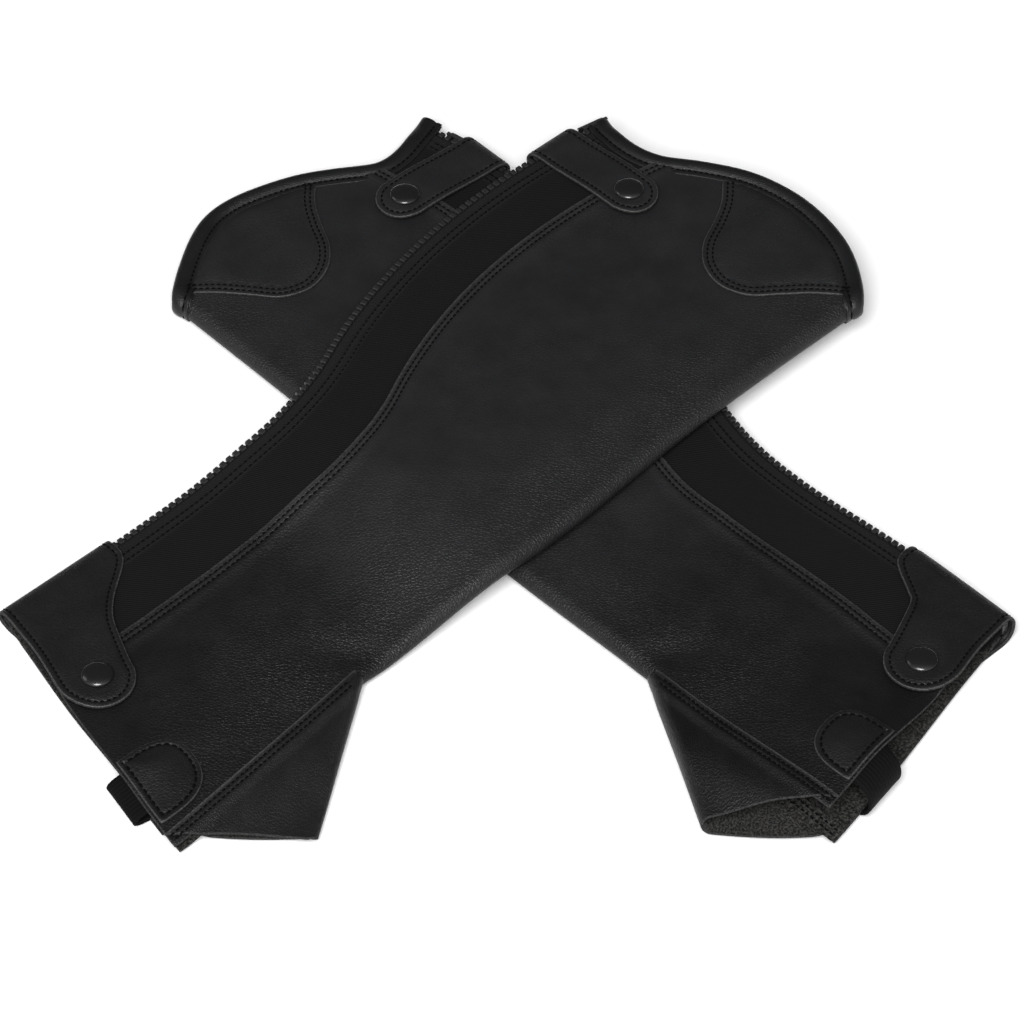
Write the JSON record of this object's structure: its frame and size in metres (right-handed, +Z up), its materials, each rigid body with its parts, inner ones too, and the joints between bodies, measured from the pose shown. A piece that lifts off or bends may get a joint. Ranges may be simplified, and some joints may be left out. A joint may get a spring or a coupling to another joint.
{
  "type": "pair of half chaps",
  "caption": "Pair of zip-up leather half chaps for riding, crossed, with stretch panels, under-foot bands and snap-fastened straps and cuffs.",
  "frame": {"origin": "middle of the pair's footprint, on the floor the pair lies on", "axes": "+Z up; the right chap's knee end points along +Y and its zip side along -X; the left chap lies under it with its knee end along -X and its zip side along +Y"},
  "size_m": [0.4754, 0.4754, 0.0326],
  "materials": {
    "black_leather": "satin pebbled grain",
    "leather_binding": "smooth satin",
    "leather_suede": "suede flesh side",
    "stretch_twill": "matt twill",
    "elastic_band": "ribbed elastic",
    "zip_tape": "herringbone tape",
    "thread": "bonded sewing thread",
    "zip_plastic": "moulded",
    "zip_slider_metal": "gunmetal plate",
    "snap_cap_enamel": "glossy black enamel",
    "snap_metal": "plated"
  },
  "bodies": {
    "left_chap": {"left_leather_shell": "black_leather", "left_stretch_panel": "stretch_twill", "left_knee_binding": "leather_binding", "left_knee_patch": "black_leather", "left_foot_flap": "black_leather", "left_band_patch_front": "black_leather", "left_band_patch_back": "black_leather", "left_under_foot_band": "elastic_band", "left_zip_tape_front": "zip_tape", "left_zip_tape_back": "zip_tape", "left_zip_teeth_front": "zip_plastic", "left_zip_teeth_back": "zip_plastic", "left_zip_box": "zip_plastic", "left_zip_stop_front": "zip_plastic", "left_zip_stop_back": "zip_plastic", "left_strap_loop": "black_leather", "left_cuff_loop": "black_leather", "left_strap_snap_stud": "snap_metal", "left_strap_snap_post": "snap_metal", "left_cuff_snap_stud": "snap_metal", "left_cuff_snap_post": "snap_metal"},
    "left_slider": {"left_zip_slider": "zip_slider_metal"},
    "left_pull": {"left_zip_pull": "zip_slider_metal"},
    "left_strap": {"left_strap_flap": "black_leather", "left_strap_snap_cap": "snap_cap_enamel", "left_strap_snap_socket": "snap_metal"},
    "left_cuff": {"left_cuff_flap": "black_leather", "left_cuff_snap_cap": "snap_cap_enamel", "left_cuff_snap_socket": "snap_metal"},
    "right_chap": {"right_leather_shell": "black_leather", "right_stretch_panel": "stretch_twill", "right_knee_binding": "leather_binding", "right_knee_patch": "black_leather", "right_foot_flap": "black_leather", "right_band_patch_front": "black_leather", "right_band_patch_back": "black_leather", "right_under_foot_band": "elastic_band", "right_zip_tape_front": "zip_tape", "right_zip_tape_back": "zip_tape", "right_zip_teeth_front": "zip_plastic", "right_zip_teeth_back": "zip_plastic", "right_zip_box": "zip_plastic", "right_zip_stop_front": "zip_plastic", "right_zip_stop_back": "zip_plastic", "right_strap_loop": "black_leather", "right_cuff_loop": "black_leather", "right_strap_snap_stud": "snap_metal", "right_strap_snap_post": "snap_metal", "right_cuff_snap_stud": "snap_metal", "right_cuff_snap_post": "snap_metal"},
    "right_slider": {"right_zip_slider": "zip_slider_metal"},
    "right_pull": {"right_zip_pull": "zip_slider_metal"},
    "right_strap": {"right_strap_flap": "black_leather", "right_strap_snap_cap": "snap_cap_enamel", "right_strap_snap_socket": "snap_metal"},
    "right_cuff": {"right_cuff_flap": "black_leather", "right_cuff_snap_cap": "snap_cap_enamel", "right_cuff_snap_socket": "snap_metal"}
  },
  "joints": [
    {"name": "right_chap_lift_off", "type": "slide", "parent": "left_chap", "child": "right_chap", "axis": [0, 0, 1], "range_m": [0, 0.12]},
    {"name": "left_strap_open", "type": "hinge", "parent": "left_chap", "child": "left_strap", "pos_m": [-0.17413, 0.15107, 0.0075], "axis": [-1, 0, 0], "range_deg": [0, 160], "deforming": ["left_strap_loop"]},
    {"name": "left_cuff_open", "type": "hinge", "parent": "left_chap", "child": "left_cuff", "pos_m": [0.17538, 0.11063, 0.0075], "axis": [-1, 0, 0], "range_deg": [0, 160], "deforming": ["left_cuff_loop"]},
    {"name": "left_zip_run", "type": "hinge", "parent": "left_chap", "child": "left_slider", "pos_m": [-0.14113, -0.19837, 0.0075], "axis": [0, 0, -1], "range_deg": [0, 31]},
    {"name": "left_pull_swing", "type": "hinge", "parent": "left_slider", "child": "left_pull", "pos_m": [-0.20107, 0.15165, 0.0075], "axis": [0, 0, 1], "range_deg": [0, 110]},
    {"name": "right_strap_open", "type": "hinge", "parent": "right_chap", "child": "right_strap", "pos_m": [-0.15107, 0.17413, 0.0195], "axis": [0, -1, 0], "range_deg": [0, 160], "deforming": ["right_strap_loop"]},
    {"name": "right_cuff_open", "type": "hinge", "parent": "right_chap", "child": "right_cuff", "pos_m": [-0.11063, -0.17538, 0.0075], "axis": [0, -1, 0], "range_deg": [0, 160], "deforming": ["right_cuff_loop"]},
    {"name": "right_zip_run", "type": "hinge", "parent": "right_chap", "child": "right_slider", "pos_m": [0.19837, 0.14113, 0.0195], "axis": [0, 0, 1], "range_deg": [0, 31]},
    {"name": "right_pull_swing", "type": "hinge", "parent": "right_slider", "child": "right_pull", "pos_m": [-0.15165, 0.20107, 0.0195], "axis": [0, 0, -1], "range_deg": [0, 110]}
  ]
}
